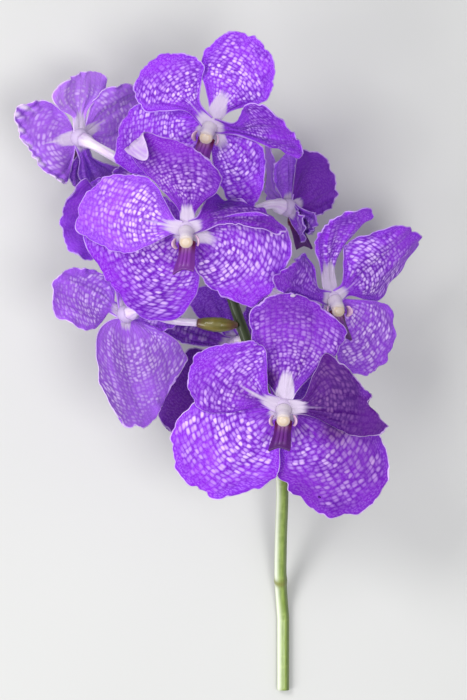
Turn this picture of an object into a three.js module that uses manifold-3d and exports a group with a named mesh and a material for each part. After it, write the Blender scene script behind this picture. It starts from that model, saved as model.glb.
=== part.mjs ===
// A cut vanda orchid: one green flower stem with nine violet blooms, lying on its back on a table.
// Millimetres. +X is to the right and +Y towards the top of the spray as it is looked down on, +Z is up.
// Every bloom has five broad blades (three sepals and two petals) grown together at a small hub,
// a white column with a cream cap, a purple lip and a pale stalk that runs back to the stem.
import * as THREE from "three";
import { mergeVertices } from "three/addons/utils/BufferGeometryUtils.js";
import Module from "manifold-3d";

const wasm = await Module();
wasm.setup();

const gap = 0.3; // between pieces that touch
const middle = [-6.95, -9.38]; // the middle of the whole spray in the layout below

// Blades
const bladeThick = 0.75;
const frontGrid = [6, 6]; // columns and rows of a blade's faces
const rearGrid = [4, 5];
const clawHalf = 3.2; // half the width of a blade where it leaves the hub
const clawInset = 2; // distance of a rib's root from the hub's centre
const rise = [0.6, 1.9, 1.9, 0, 0.9]; // how far forward each blade leaves the hub
const ribSteps = 40;
const rollShare = 0.35; // share of the length over which a blade's roll comes in
const waveHigh = 0.8;
const waveCount = 1.7;

// Hub, column and lip
const hubRadius = 4.6;
const columnLong = 7;
const columnWide = 5.6;
const columnTilt = 24; // degrees towards the lip
const columnFoot = 3.1; // in front of the hub's centre
const columnSides = 8;
const columnClear = [1.18, 1.18, 1.04]; // how much wider and longer the room for it in the lip is
const lipRoot = [5, 5.2]; // below and in front of the hub's centre
const lipLong = 14;
const lipWide = 8.8;
const lipWaist = 0.75; // share of its width
const lipNotch = 1.6;
const lipThick = 1.6;
const lipTilt = 35; // degrees forward
const lipGrid = [2, 4];
const bridgeAt = [0, -5.4, 6.4];
const bridgeHalf = [4.3, 1.3, 1.5];
const earAt = [4.5, -4.8, 8];
const earHalf = [1.05, 2.25, 2.5];

// Stem and stalks
const stemRadius = 2.7;
const stemTipRadius = 1.7;
const stemSides = 8;
const stalkRadius = 1.8;
const stalkSides = 6;
const stalkSteps = 8;
const stalkStraight = 13; // how far behind a hub its stalk starts to bend
const stalkOut = 7; // how far it runs straight out of the stem, and how far it then has leaned up it
const stalkLean = 1.5;
const stalkSwell = 0.15; // how much thicker it is at the hub
const rootGap = 0.55; // between a stalk and the stem's middle radius, as its flats are not square to the stem
const sheathRun = 10; // how far the stalk runs straight out of the sheath
const stemSteps = 26;
const stemSamples = 400;
const sheathLine = [
  [1.4, 10.9, 52.6],
  [-1.6, 10.9, 54],
  [-8, 11.1, 54],
  [-15.6, 11.8, 53.4],
];
const sheathRadii = [1.3, 2.5, 3.2, 3.2, 2.8, 1.9]; // at even steps from the stem to the stalk

const rad = THREE.MathUtils.degToRad;
const ease = (x) => Math.sin((Math.PI / 2) * THREE.MathUtils.clamp(x, 0, 1)) ** 2;
const bent = (points) => new THREE.CatmullRomCurve3(points.map((p) => new THREE.Vector3(...p)));

// The stem's centre line: its cut end, the end of its flat stretch on the table, and on up to its tip.
const stemEnd = [22.4, -153.5, stemRadius];
const stemLine = [
  [22.4, -121, stemRadius],
  [21.7, -112, 4.6],
  [21.1, -101, 11],
  [21.1, -84, 22],
  [21.3, -57, 38],
  [18.6, -39, 46],
  [12.4, -15, 49],
  [5.5, 5, 50],
  [-0.2, 21, 50],
  [-8, 48, 50],
  [-12.4, 74, 50],
  [-13.5, 84, 51],
];

// What most blades share. Skew slants a blade's end, belly is the share of its length where it is widest and
// claw the share where it starts to widen, soon if flare is under 1. Tip is how round its end is. Lift is its
// first angle forward and bow its turn forward over its length, sweep its turn sideways, roll and twist its
// turns about the rib, cup its turn from rib to edge.
const plainOutline = { skew: 0, belly: 0.57, claw: 0.07, flare: 1, tip: 0.5 };
const plainBends = { lift: 0, bow: 0, sweep: 0, roll: 0, twist: 0, cup: -8 };

// Swing is a blade's clock angle round the face, long its length, left and right its two half widths.
function blade(swing, long, [left, right], outline = {}, bends = {}) {
  return { ...plainOutline, ...plainBends, ...outline, ...bends, swing, long, left, right };
}

// A bloom's hub, the height along the spray at which its stalk leaves the stem, the turn of its face to the
// right, its nod downwards, its spin, and its blades: upper sepal, two petals, two lower sepals. A bloom that
// rests has its hub where its lowest blade just touches the table.
const blooms = [
  {
    name: "low",
    hub: [21.3, -24.1, 92],
    root: -8,
    facing: [-3, 6, 0],
    grid: frontGrid,
    blades: [
      blade(6, 46.5, [17.5, 24], { skew: -0.07, belly: 0.68, claw: -0.03, flare: 1.05, tip: 0.7 },
        { bow: 1, sweep: -5, roll: -3, cup: -11 }),
      blade(-66, 41, [18.5, 19.5], { skew: -0.07, claw: 0.17, flare: 0.6, tip: 0.65 },
        { lift: 15, bow: -15, sweep: 24 }),
      blade(87, 38, [23, 11], { skew: 0.33, belly: 0.6, claw: 0.14 },
        { lift: 14, bow: -10, sweep: 10, roll: 6 }),
      blade(-125, 51.5, [23.5, 25], { skew: 0.02, belly: 0.43, claw: -0.05 },
        { lift: -4, bow: 5, sweep: -4, roll: 6, cup: -9 }),
      blade(140, 54.5, [27, 22.5], { belly: 0.45, claw: 0.04, flare: 0.65 },
        { lift: -8, bow: 6, sweep: 11, roll: -12, cup: -9 }),
    ],
  },
  {
    name: "mid",
    hub: [-19.6, 51, 96],
    root: 44,
    facing: [-8, 8, 8],
    grid: frontGrid,
    blades: [
      blade(13, 37.5, [22, 15.5], { skew: -0.26, belly: 0.72, claw: 0.1, flare: 0.9 },
        { lift: 16, bow: -5, sweep: -18, roll: 5, cup: -17 }),
      blade(-69, 44.5, [16.5, 18], { skew: -0.08, belly: 0.52, flare: 0.6, tip: 0.4 },
        { lift: 4, bow: -6, sweep: 4 }),
      blade(77, 38, [27, 7.5], { skew: 0.44, belly: 0.53, flare: 1.2, tip: 0.7 },
        { lift: 2, bow: -9, sweep: 39, roll: 73, twist: -7 }),
      blade(-127, 42.5, [31, 31], { skew: 0.03, belly: 0.79, flare: 0.3, tip: 0.2 },
        { lift: -14, bow: 1, sweep: 22, roll: 27, cup: -6 }),
      blade(140, 41.5, [30, 11.5], { skew: -0.04, belly: 0.52, claw: 0.05, flare: 0.35, tip: 0.6 },
        { lift: -5, sweep: 14, roll: -5 }),
    ],
  },
  {
    name: "top",
    hub: [-9.6, 96.1, 78],
    root: 78,
    facing: [-10, 10, -12],
    grid: frontGrid,
    blades: [
      blade(14, 41, [17.5, 17], { belly: 0.54, claw: 0.02, flare: 1.2 },
        { lift: 7, bow: -6, sweep: 13, roll: 7 }),
      blade(-52, 35.5, [18, 15.5], { skew: -0.06, belly: 0.62, claw: 0.17, flare: 1.2, tip: 0.55 },
        { lift: 7, bow: -10 }),
      blade(84, 40.5, [22.5, 17], { skew: 0.05, belly: 0.77, claw: 0.22 },
        { lift: 23, sweep: -3, roll: -55, twist: 5, cup: -2 }),
      blade(-128, 44, [12.5, 20.5], { belly: 0.53, claw: -0.19, flare: 0.85 }, { lift: -7, sweep: 18 }),
      blade(136, 35, [13.5, 13.5], { skew: 0.23, belly: 0.64, flare: 0.6, tip: 0.4 },
        { lift: 1, bow: -3, sweep: -4, roll: -7, twist: -3 }),
    ],
  },
  {
    name: "far_left",
    hub: [-67.4, 93.1, 0],
    rests: true,
    root: 68,
    facing: [-152, -16, 0],
    grid: rearGrid,
    blades: [
      blade(3, 27, [15, 18], { skew: -0.29, belly: 0.66, claw: 0.27 },
        { lift: 8, bow: 14, sweep: -14, roll: -12, twist: -6 }),
      blade(-61, 36.5, [18, 13], { skew: 0.11, belly: 0.42, flare: 0.55, tip: 0.6 },
        { lift: 11, sweep: -2, twist: -8 }),
      blade(103, 22.5, [19.5, 19], { skew: -0.35, belly: 0.55, claw: 0, flare: 0.3, tip: 0.3 },
        { bow: 5, roll: -13, cup: -9 }),
      blade(-153, 42.5, [6, 15], { skew: 0.34, belly: 0.69, claw: 0.23, flare: 0.6 },
        { lift: 19, bow: 10, sweep: 27, roll: 5 }),
      blade(-145, 42.5, [9, 6], { skew: 0.26, belly: 0.61, claw: 0.2 },
        { lift: 31, bow: 16, sweep: -11 }),
    ],
  },
  {
    name: "far_right",
    hub: [23.9, 62.2, 0],
    rests: true,
    root: 52,
    facing: [140, 4, 0],
    grid: rearGrid,
    blades: [
      blade(13, 24.5, [6, 8.5], {}, { lift: 12, sweep: 2 }),
      blade(-67, 25, [9.5, 20], { skew: 0.05, claw: 0, flare: 0.55, tip: 0.45 }, { sweep: -2, roll: -6 }),
      blade(67, 48.5, [19.5, 7], { belly: 0.63, claw: 0.3, flare: 1.2 },
        { lift: 22, bow: 27, sweep: -6, roll: 15, twist: 8, cup: -4 }),
      blade(-128, 23, [6, 6.5], {}, { lift: -14, bow: -22, roll: -22, twist: -12 }),
      blade(-112, 31, [6, 6], { skew: 0.23, belly: 0.8, claw: 0.3, tip: 0.6 },
        { lift: -15, bow: -29, roll: -10 }),
    ],
  },
  {
    name: "right",
    hub: [42.4, 22, 69],
    root: 20,
    facing: [20, 4, 0],
    grid: frontGrid,
    blades: [
      blade(-21, 42.5, [7.5, 19], { skew: 0.15, belly: 0.79, claw: 0.21 },
        { lift: 18, bow: 30, sweep: 21, roll: -6, twist: -4, cup: -6 }),
      blade(-81, 39.5, [6, 17], { skew: -0.29, belly: 0.7, claw: 0.19, tip: 0.7 },
        { lift: 32, sweep: 23, roll: -9, cup: -17 }),
      blade(52, 44, [18, 22.5], { skew: 0.09, belly: 0.38, tip: 0.15 },
        { lift: 5, bow: 4, sweep: -5, roll: -18, twist: -27, cup: -23 }),
      blade(-162, 46, [13, 9], {}, { lift: -7 }),
      blade(139, 38.5, [20, 14.5], { belly: 0.6, claw: 0, flare: 0.6, tip: 0.6 },
        { lift: -8, bow: -6, twist: 8, cup: -7 }),
    ],
  },
  {
    name: "left",
    hub: [-46.7, 15.6, 56],
    facing: [-150, 8, 0],
    grid: frontGrid,
    blades: [
      blade(4, 31.5, [12, 9], { claw: 0.16 }, { lift: -6, sweep: -4 }),
      blade(60, 36, [12, 19], { skew: 0.19, belly: 0.47, claw: 0.15, flare: 0.3, tip: 0.3 },
        { lift: -6, sweep: 19, roll: -11, cup: -12 }),
      blade(-86, 25, [9, 10], {}, { lift: -9 }),
      blade(-165, 30, [9, 9], {}, { lift: 32 }),
      blade(176, 48, [25, 31], { skew: -0.26, belly: 0.51, claw: 0, flare: 0.3, tip: 0.75 },
        { lift: -5, bow: -11, sweep: 19, roll: 17, cup: -19 }),
    ],
  },
  {
    name: "back",
    hub: [-52.3, 59.5, 46],
    root: 36,
    facing: [-172, 0, 0],
    grid: rearGrid,
    blades: [
      blade(102, 24, [17.5, 18], { skew: 0.21, belly: 0.38, claw: -0.03, flare: 0.8, tip: 0.6 },
        { lift: -14, bow: -7, sweep: 8, cup: -9 }),
      blade(20, 24, [7, 7], {}, { lift: 50 }),
      blade(-33, 28, [9, 10], {}, { lift: 28, bow: 11 }),
      blade(-95, 30, [11, 10], {}, { lift: 10, bow: 4 }),
      blade(-160, 30, [11, 10], {}, { lift: 4 }),
    ],
  },
  {
    name: "under",
    hub: [1.1, 2.2, 27],
    root: 3,
    facing: [-176, 4, 0],
    grid: rearGrid,
    blades: [
      blade(125, 41, [11, 16.5], { skew: 0.36, belly: 0.67, tip: 0.7 }, { lift: 4, sweep: 4 }),
      blade(76, 35, [6, 6], { skew: 0.18, belly: 0.54 }, { lift: -4, sweep: -10 }),
      blade(25, 28, [6, 10.5], { skew: 0.11, belly: 0.65, claw: 0.15 }, { sweep: 4 }),
      blade(-45, 26, [9, 9], {}, { lift: 11, bow: 4 }),
      blade(-140, 36, [12, 12], {}, { lift: 6 }),
    ],
  },
];

// A closed three.js geometry as a solid that can be joined and cut, and back.
function solidOf(geometry) {
  const bare = geometry.clone();
  bare.deleteAttribute("normal");
  bare.deleteAttribute("uv");
  const merged = mergeVertices(bare, 1e-4);
  const mesh = new wasm.Mesh({
    numProp: 3,
    vertProperties: new Float32Array(merged.attributes.position.array),
    triVerts: new Uint32Array(merged.index.array),
  });
  return new wasm.Manifold(mesh);
}

function geometryOf(solid) {
  const { vertProperties, triVerts } = solid.getMesh();
  const geometry = new THREE.BufferGeometry();
  geometry.setAttribute("position", new THREE.BufferAttribute(vertProperties, 3));
  geometry.setIndex(new THREE.BufferAttribute(triVerts, 1));
  geometry.computeVertexNormals();
  return geometry;
}

const joined = (solids) => solids.reduce((whole, one) => whole.add(one));

// Where a grid point (u across, v along, both -1 to 1) lies in a blade's flat outline: widening from the claw
// to the belly, and a rounded end beyond it. Gives millimetres across and a share of the length along.
function outlineAt(u, v, { left, right, belly, claw, flare, tip, skew }) {
  const round = Math.max(v, 0);
  const across = u * Math.sqrt(1 - round ** 2 / 2);
  const along = v > 0 ? belly + (1 - belly) * v * Math.sqrt(1 - tip * u ** 2) : belly * (1 + v);
  const half = across < 0 ? left : right;
  const reach = clawHalf + (half - clawHalf) * ease((along - claw) / (belly - claw)) ** flare;
  return { across, reach: across * reach, along: along + skew * across * ease(along) };
}

// A blade's rib, and its side and normal directions, at steps along its length and beyond its end.
function ribOf({ swing, long, lift, bow, sweep, roll, twist }, forward) {
  const rib = [];
  const place = new THREE.Vector3(Math.sin(rad(swing)), Math.cos(rad(swing)), 0);
  place.multiplyScalar(clawInset).setZ(forward);
  for (let i = 0; i <= 2 * ribSteps; i++) {
    const share = i / ribSteps;
    const yaw = rad(swing + sweep * share);
    const pitch = rad(lift + bow * share);
    const turn = rad(roll * ease(share / rollShare) + twist * share);
    const out = new THREE.Vector3(Math.sin(yaw), Math.cos(yaw), 0);
    const flat = new THREE.Vector3(Math.cos(yaw), -Math.sin(yaw), 0);
    const front = out.clone().multiplyScalar(-Math.sin(pitch)).setZ(Math.cos(pitch));
    const side = flat.clone().multiplyScalar(Math.cos(turn)).addScaledVector(front, Math.sin(turn));
    const normal = front.clone().multiplyScalar(Math.cos(turn)).addScaledVector(flat, -Math.sin(turn));
    rib.push({ place: place.clone(), side, normal });
    place.addScaledVector(out.multiplyScalar(Math.cos(pitch)).setZ(Math.sin(pitch)), long / ribSteps);
  }
  return rib;
}

// A point of a blade bent round its rib, with shallow waves that grow towards the edge.
function bladePoint(u, v, shape, rib) {
  const { across, reach, along } = outlineAt(u, v, shape);
  const at = Math.max(along * ribSteps, 0);
  const [low, high] = [rib[Math.floor(at)], rib[Math.floor(at) + 1]];
  const share = at - Math.floor(at);
  const place = low.place.clone().lerp(high.place, share);
  const side = low.side.clone().lerp(high.side, share).normalize();
  const normal = low.normal.clone().lerp(high.normal, share).normalize();
  const bend = (2 * rad(shape.cup)) / (shape.left + shape.right);
  const phase = 2 * Math.PI * waveCount * along + 2 * Math.sign(u) + shape.swing;
  const height = (1 - Math.cos(reach * bend)) / bend + waveHigh * across ** 2 * Math.sin(phase);
  return place.addScaledVector(side, Math.sin(reach * bend) / bend).addScaledVector(normal, height);
}

// A closed blade of even thickness over a grid of points, split into triangles alike on both faces.
function bladeSolid(pointAt, columns, rows, thick) {
  const grid = [];
  for (let i = 0; i <= rows; i++)
    for (let j = 0; j <= columns; j++) grid.push(pointAt((2 * j) / columns - 1, (2 * i) / rows - 1));
  const across = columns + 1;
  const faces = [];
  for (let i = 0; i < rows; i++)
    for (let j = 0; j < columns; j++) {
      const a = i * across + j;
      const [b, c, d] = [a + 1, a + across + 1, a + across];
      if ((i + j) % 2) faces.push([a, b, c], [a, c, d]);
      else faces.push([a, b, d], [b, c, d]);
    }
  const normals = grid.map(() => new THREE.Vector3());
  for (const [a, b, c] of faces) {
    const face = grid[b].clone().sub(grid[a]).cross(grid[c].clone().sub(grid[a]));
    for (const k of [a, b, c]) normals[k].add(face);
  }
  for (const normal of normals) normal.normalize();
  const face = (half) => grid.map((point, k) => point.clone().addScaledVector(normals[k], half));
  const below = grid.length;
  const rim = [];
  for (let j = 0; j < columns; j++) rim.push(j);
  for (let i = 0; i < rows; i++) rim.push(i * across + columns);
  for (let j = columns; j > 0; j--) rim.push(rows * across + j);
  for (let i = rows; i > 0; i--) rim.push(i * across);
  const index = [];
  for (const [a, b, c] of faces) index.push(a, b, c, below + a, below + c, below + b);
  rim.forEach((a, k) => {
    const b = rim[(k + 1) % rim.length];
    index.push(a, below + b, b, a, below + a, below + b);
  });
  const geometry = new THREE.BufferGeometry().setFromPoints([...face(thick / 2), ...face(-thick / 2)]);
  geometry.setIndex(index);
  return solidOf(geometry);
}

// A closed bar along a curve with flat sides, its middle radius given along it. One of its sides faces along
// the reference direction.
function barSolid(curve, radiusAt, sides, steps, reference) {
  const points = [];
  for (let i = 0; i <= steps; i++) {
    const centre = curve.getPointAt(i / steps);
    const ahead = curve.getTangentAt(i / steps);
    const side = ahead.clone().cross(reference).normalize();
    const front = side.clone().cross(ahead);
    const radius = radiusAt(i / steps) / Math.cos(Math.PI / sides);
    for (let k = 0; k < sides; k++) {
      const angle = (2 * Math.PI * (k + 0.5)) / sides;
      const point = centre.clone().addScaledVector(side, radius * Math.cos(angle));
      points.push(point.addScaledVector(front, radius * Math.sin(angle)));
    }
  }
  const index = [];
  for (let i = 0; i < steps; i++)
    for (let k = 0; k < sides; k++) {
      const [a, b] = [i * sides + k, i * sides + ((k + 1) % sides)];
      index.push(a, b + sides, b, a, a + sides, b + sides);
    }
  const last = steps * sides;
  for (let k = 1; k < sides - 1; k++) index.push(0, k, k + 1, last, last + k + 1, last + k);
  const geometry = new THREE.BufferGeometry().setFromPoints(points);
  geometry.setIndex(index);
  return solidOf(geometry);
}

// A faceted ellipsoid with its three half sizes and its middle.
function egg(half, place, segments) {
  const geometry = new THREE.SphereGeometry(1, ...segments);
  geometry.scale(...half).translate(...place);
  return solidOf(geometry);
}

const hubBall = (radius) => egg([radius, radius, radius], [0, 0, 0], [8, 6]);

function petals(bloom) {
  const blades = bloom.blades.map((shape, k) => {
    const rib = ribOf(shape, rise[k]);
    return bladeSolid((u, v) => bladePoint(u, v, shape, rib), ...bloom.grid, bladeThick);
  });
  return joined([hubBall(hubRadius), ...blades]);
}

// A stout post with a rounded cap, leaning from the hub's front towards the lip.
function column() {
  const half = columnWide / 2;
  const outline = [
    [0, 0],
    [half * 0.95, 0],
    [half * 0.8, columnLong * 0.4],
    [half, columnLong * 0.75],
    [half * 0.7, columnLong * 0.97],
    [0, columnLong * 1.08],
  ].map(([x, y]) => new THREE.Vector2(x, y));
  const geometry = new THREE.LatheGeometry(outline, columnSides);
  geometry.rotateX(Math.PI / 2).translate(0, 0, columnFoot);
  geometry.rotateX(rad(columnTilt));
  return solidOf(geometry).subtract(hubBall(hubRadius + gap));
}

// A waisted tongue that flares into two lobes and hangs forward, with an ear at each side of its root.
function lip() {
  const [down, forward] = [Math.cos(rad(lipTilt)), Math.sin(rad(lipTilt))];
  const tonguePoint = (u, v) => {
    const along = (v + 1) / 2;
    const half = (lipWide / 2) * (lipWaist + (1 - lipWaist) * ease((along - 0.3) / 0.7));
    const notch = lipNotch * (1 - Math.abs(u)) * ease((along - 0.6) / 0.4);
    const fall = lipLong * along - notch;
    return new THREE.Vector3(u * half, -lipRoot[0] - fall * down, lipRoot[1] + fall * forward);
  };
  const tongue = bladeSolid(tonguePoint, ...lipGrid, lipThick);
  const bridge = egg(bridgeHalf, bridgeAt, [8, 4]);
  const ears = [-1, 1].map((way) => egg(earHalf, [way * earAt[0], earAt[1], earAt[2]], [6, 4]));
  return joined([tongue, bridge, ...ears]).subtract(columnRoom);
}

const columnSolid = column();
const columnRoom = hubBall(hubRadius + gap).add(columnSolid.scale(columnClear));
const lipSolid = lip();

const facing = ({ facing: [turn, nod, spin] }) => new THREE.Euler(rad(nod), rad(turn), rad(spin), "YXZ");

const stemCurve = new THREE.CurvePath();
stemCurve.add(new THREE.LineCurve3(new THREE.Vector3(...stemEnd), new THREE.Vector3(...stemLine[0])));
stemCurve.add(bent(stemLine));
const sheathCurve = bent(sheathLine);
const upward = new THREE.Vector3(0, 0, 1);
const upTheSpray = new THREE.Vector3(0, 1, 0);

const stemRadiusAt = (share) => stemRadius + (stemTipRadius - stemRadius) * ease((share - 0.5) / 0.5);

// The stem's centre, radius and direction at a height along the spray.
function stemAt(y) {
  let k = 0;
  while (stemCurve.getPointAt((k + 1) / stemSamples).y <= y) k++;
  const share = k / stemSamples;
  const [place, ahead] = [stemCurve.getPointAt(share), stemCurve.getTangentAt(share)];
  return { place, radius: stemRadiusAt(share), ahead };
}

// The two first points of a stalk that leaves the stem squarely.
function stemStart(bloom, before) {
  const { place, radius, ahead } = stemAt(bloom.root);
  const outward = before.clone().sub(place);
  outward.addScaledVector(ahead, -outward.dot(ahead)).normalize();
  const start = place.clone().addScaledVector(outward, radius + rootGap);
  return [start, start.clone().addScaledVector(outward, stalkOut).addScaledVector(ahead, stalkLean)];
}

// The two first points of the stalk that comes out of the sheath.
function sheathStart() {
  const along = sheathCurve.getTangentAt(1);
  const start = sheathCurve.getPointAt(1).addScaledVector(along, gap);
  return [start, start.clone().addScaledVector(along, sheathRun)];
}

// A stalk bends towards its bloom and meets the hub from behind.
function stalk(bloom) {
  const face = new THREE.Vector3(0, 0, 1).applyEuler(facing(bloom));
  const hub = new THREE.Vector3(...bloom.hub);
  const end = hub.clone().addScaledVector(face, -(hubRadius + gap));
  const before = hub.clone().addScaledVector(face, -stalkStraight);
  const first = "root" in bloom ? stemStart(bloom, before) : sheathStart();
  const curve = new THREE.CatmullRomCurve3([...first, before, end]);
  const radiusAt = (share) => stalkRadius * (1 + stalkSwell * ease(share));
  return barSolid(curve, radiusAt, stalkSides, stalkSteps, upTheSpray);
}

// The swollen green base of one stalk, where it leaves the stem.
function sheath() {
  const last = sheathRadii.length - 1;
  const radiusAt = (share) => {
    const k = Math.min(Math.floor(share * last), last - 1);
    return THREE.MathUtils.lerp(sheathRadii[k], sheathRadii[k + 1], share * last - k);
  };
  return barSolid(sheathCurve, radiusAt, stemSides, last, upTheSpray);
}

const finish = {
  petals: { color: 0x6a3fc4, roughness: 0.55, metalness: 0 },
  lip: { color: 0x5a1f6e, roughness: 0.45, metalness: 0 },
  column: { color: 0xf2ecdf, roughness: 0.5, metalness: 0 },
  stalk: { color: 0xe2d8dc, roughness: 0.5, metalness: 0 },
  stem: { color: 0x9bb36a, roughness: 0.5, metalness: 0 },
};

function piece(name, solid, kind) {
  const mesh = new THREE.Mesh(geometryOf(solid), new THREE.MeshStandardMaterial(finish[kind]));
  mesh.name = name;
  return mesh;
}

// How far below its own origin a turned geometry reaches.
function lowest(geometry, turn) {
  const turned = geometry.clone().applyMatrix4(new THREE.Matrix4().makeRotationFromEuler(turn));
  turned.computeBoundingBox();
  return turned.boundingBox.min.z;
}

const spray = new THREE.Group();
spray.position.set(-middle[0], -middle[1], 0);
spray.add(piece("stem", barSolid(stemCurve, stemRadiusAt, stemSides, stemSteps, upward), "stem"));
spray.add(piece("left_sheath", sheath(), "stem"));

for (const bloom of blooms) {
  const head = new THREE.Group();
  const blades = piece(bloom.name + "_petals", petals(bloom), "petals");
  if (bloom.rests) bloom.hub[2] = -lowest(blades.geometry, facing(bloom));
  head.position.set(...bloom.hub);
  head.rotation.copy(facing(bloom));
  head.add(blades);
  head.add(piece(bloom.name + "_column", columnSolid, "column"));
  head.add(piece(bloom.name + "_lip", lipSolid, "lip"));
  spray.add(head);
  spray.add(piece(bloom.name + "_stalk", stalk(bloom), "stalk"));
}

export default spray;
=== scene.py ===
import math
import bpy
import numpy as np
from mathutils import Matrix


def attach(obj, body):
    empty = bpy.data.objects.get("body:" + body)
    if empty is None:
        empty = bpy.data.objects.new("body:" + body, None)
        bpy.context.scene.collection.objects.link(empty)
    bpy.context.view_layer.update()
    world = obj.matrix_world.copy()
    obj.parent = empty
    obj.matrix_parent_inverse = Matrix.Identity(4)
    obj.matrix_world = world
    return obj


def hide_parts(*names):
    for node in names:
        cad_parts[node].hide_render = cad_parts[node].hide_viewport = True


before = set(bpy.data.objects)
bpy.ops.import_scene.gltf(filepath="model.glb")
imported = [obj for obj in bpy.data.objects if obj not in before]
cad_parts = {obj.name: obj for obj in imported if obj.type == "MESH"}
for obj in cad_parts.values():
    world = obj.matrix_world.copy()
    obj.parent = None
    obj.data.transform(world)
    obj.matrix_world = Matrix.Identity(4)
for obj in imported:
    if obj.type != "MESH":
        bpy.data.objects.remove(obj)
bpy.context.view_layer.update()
layoutMiddle = np.array([-6.95, -9.38, 0.0])  # mm, the middle of the spray where the blooms are laid out
tableGap = 0.02  # mm, the least height of a point over the table
print("frame loaded")


# small helpers for shapes, all in mm until a piece is made
def ease(x):
    return np.sin(math.pi / 2 * np.clip(x, 0, 1)) ** 2


def between(x, low, high):
    return ease((x - low) / (high - low))


def unit(v):
    return v / np.maximum(np.linalg.norm(v, axis=-1, keepdims=True), 1e-9)


def turned(facing):  # turn to the right, nod down, spin, in degrees
    turn, nod, spin = (math.radians(a) for a in facing)
    y = np.array([[math.cos(turn), 0, math.sin(turn)], [0, 1, 0], [-math.sin(turn), 0, math.cos(turn)]])
    x = np.array([[1, 0, 0], [0, math.cos(nod), -math.sin(nod)], [0, math.sin(nod), math.cos(nod)]])
    z = np.array([[math.cos(spin), -math.sin(spin), 0], [math.sin(spin), math.cos(spin), 0], [0, 0, 1]])
    return y @ x @ z


def gridFaces(rows, cols, ring=False):  # quads of a grid of points, its columns joined in a ring or not
    i, j = np.meshgrid(np.arange(rows - 1), np.arange(cols if ring else cols - 1), indexing="ij")
    a, b = i * cols + j, i * cols + (j + 1) % cols
    return np.stack([a, b, b + cols, a + cols], -1).reshape(-1, 4)


def gridNormals(points):
    return unit(np.cross(np.gradient(points, axis=1), np.gradient(points, axis=0)))


def sheetShell(points, half, marks, behind=0.0):  # a closed skin on both sides of a grid of points
    rows, cols = points.shape[:2]
    offset = gridNormals(points) * half[..., None]
    count = rows * cols
    faces = gridFaces(rows, cols)
    index = np.arange(count).reshape(rows, cols)
    rim = np.concatenate([index[0, :-1], index[:-1, -1], index[-1, :0:-1], index[:0:-1, 0]])
    after = np.roll(rim, -1)
    sides = np.stack([rim, rim + count, after + count, after], -1)
    both = np.concatenate([(points + offset).reshape(-1, 3), (points - offset).reshape(-1, 3)])
    twice = {}
    for name, value in marks.items():
        flat = value.reshape(-1, 3)
        other = flat.copy()
        if name == "tone":  # the face that looks back is at least this pale
            other[:, 2] = np.maximum(other[:, 2], behind)
        twice[name] = np.concatenate([flat, other])
    return {"points": both, "quads": np.concatenate([faces, faces[:, ::-1] + count, sides]), "marks": twice}


def tubeShell(line, radii, sides, reference, marks, ribs=(0, 0, 0)):  # ribs: count, height, twist in turns
    ahead = unit(np.gradient(line, axis=0))
    side = unit(np.cross(ahead, reference))
    front = np.cross(side, ahead)
    share = np.linspace(0, 1, len(line))[:, None]
    angle = np.linspace(0, 2 * math.pi, sides, endpoint=False)[None, :]
    count, high, twist = ribs
    radius = radii[:, None] * (1 + high * np.cos(count * angle + 2 * math.pi * twist * share))
    out = side[:, None] * np.cos(angle)[..., None] + front[:, None] * np.sin(angle)[..., None]
    ring = line[:, None] + out * radius[..., None]
    points = np.concatenate([ring.reshape(-1, 3), line[:1], line[-1:]])
    last = len(line) * sides
    k = np.arange(sides)
    after = (k + 1) % sides
    startCap = np.stack([k * 0 + last, after, k], -1)
    endCap = np.stack([k * 0 + last + 1, k + last - sides, after + last - sides], -1)
    around = np.broadcast_to(angle / (2 * math.pi), radius.shape)
    along = np.concatenate([[0], np.cumsum(np.linalg.norm(np.diff(line, axis=0), axis=1))])
    run = np.broadcast_to(along[:, None], radius.shape)
    flat = np.stack([around, run, np.broadcast_to(share, radius.shape)], -1).reshape(-1, 3)
    extra = {"place": np.concatenate([flat, flat[:1], flat[-1:]])}
    for name, value in marks.items():  # one row of three a ring, or one a point
        full = value.reshape(-1, 3) if value.ndim == 3 else np.repeat(value, sides, 0)
        extra[name] = np.concatenate([full, full[:1], full[-1:]])
    quads = gridFaces(len(line), sides, ring=True)
    return {"points": points, "quads": quads, "tris": np.concatenate([startCap, endCap]), "marks": extra}


def eggShell(half, place, marks, rows=20, cols=28):  # a mark is three numbers, or made from the points
    t = np.linspace(0.02, math.pi - 0.02, rows)[:, None]
    angle = np.linspace(0, 2 * math.pi, cols, endpoint=False)[None, :]
    ring = np.stack([np.sin(t) * np.cos(angle), np.sin(t) * np.sin(angle), np.cos(t) + 0 * angle], -1)
    points = np.concatenate([ring.reshape(-1, 3), [[0, 0, 1.0]], [[0, 0, -1.0]]])
    last, k = rows * cols, np.arange(cols)
    after = (k + 1) % cols
    topCap = np.stack([k * 0 + last, k, after], -1)
    lowCap = np.stack([k * 0 + last + 1, after + last - cols, k + last - cols], -1)
    full = {name: value(points) if callable(value) else np.repeat(np.array([value], float), len(points), 0)
            for name, value in marks.items()}
    quads = gridFaces(rows, cols, ring=True)[:, ::-1]
    tris = np.concatenate([topCap, lowCap])
    return {"points": points * half + place, "quads": quads, "tris": tris, "marks": full}


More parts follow.
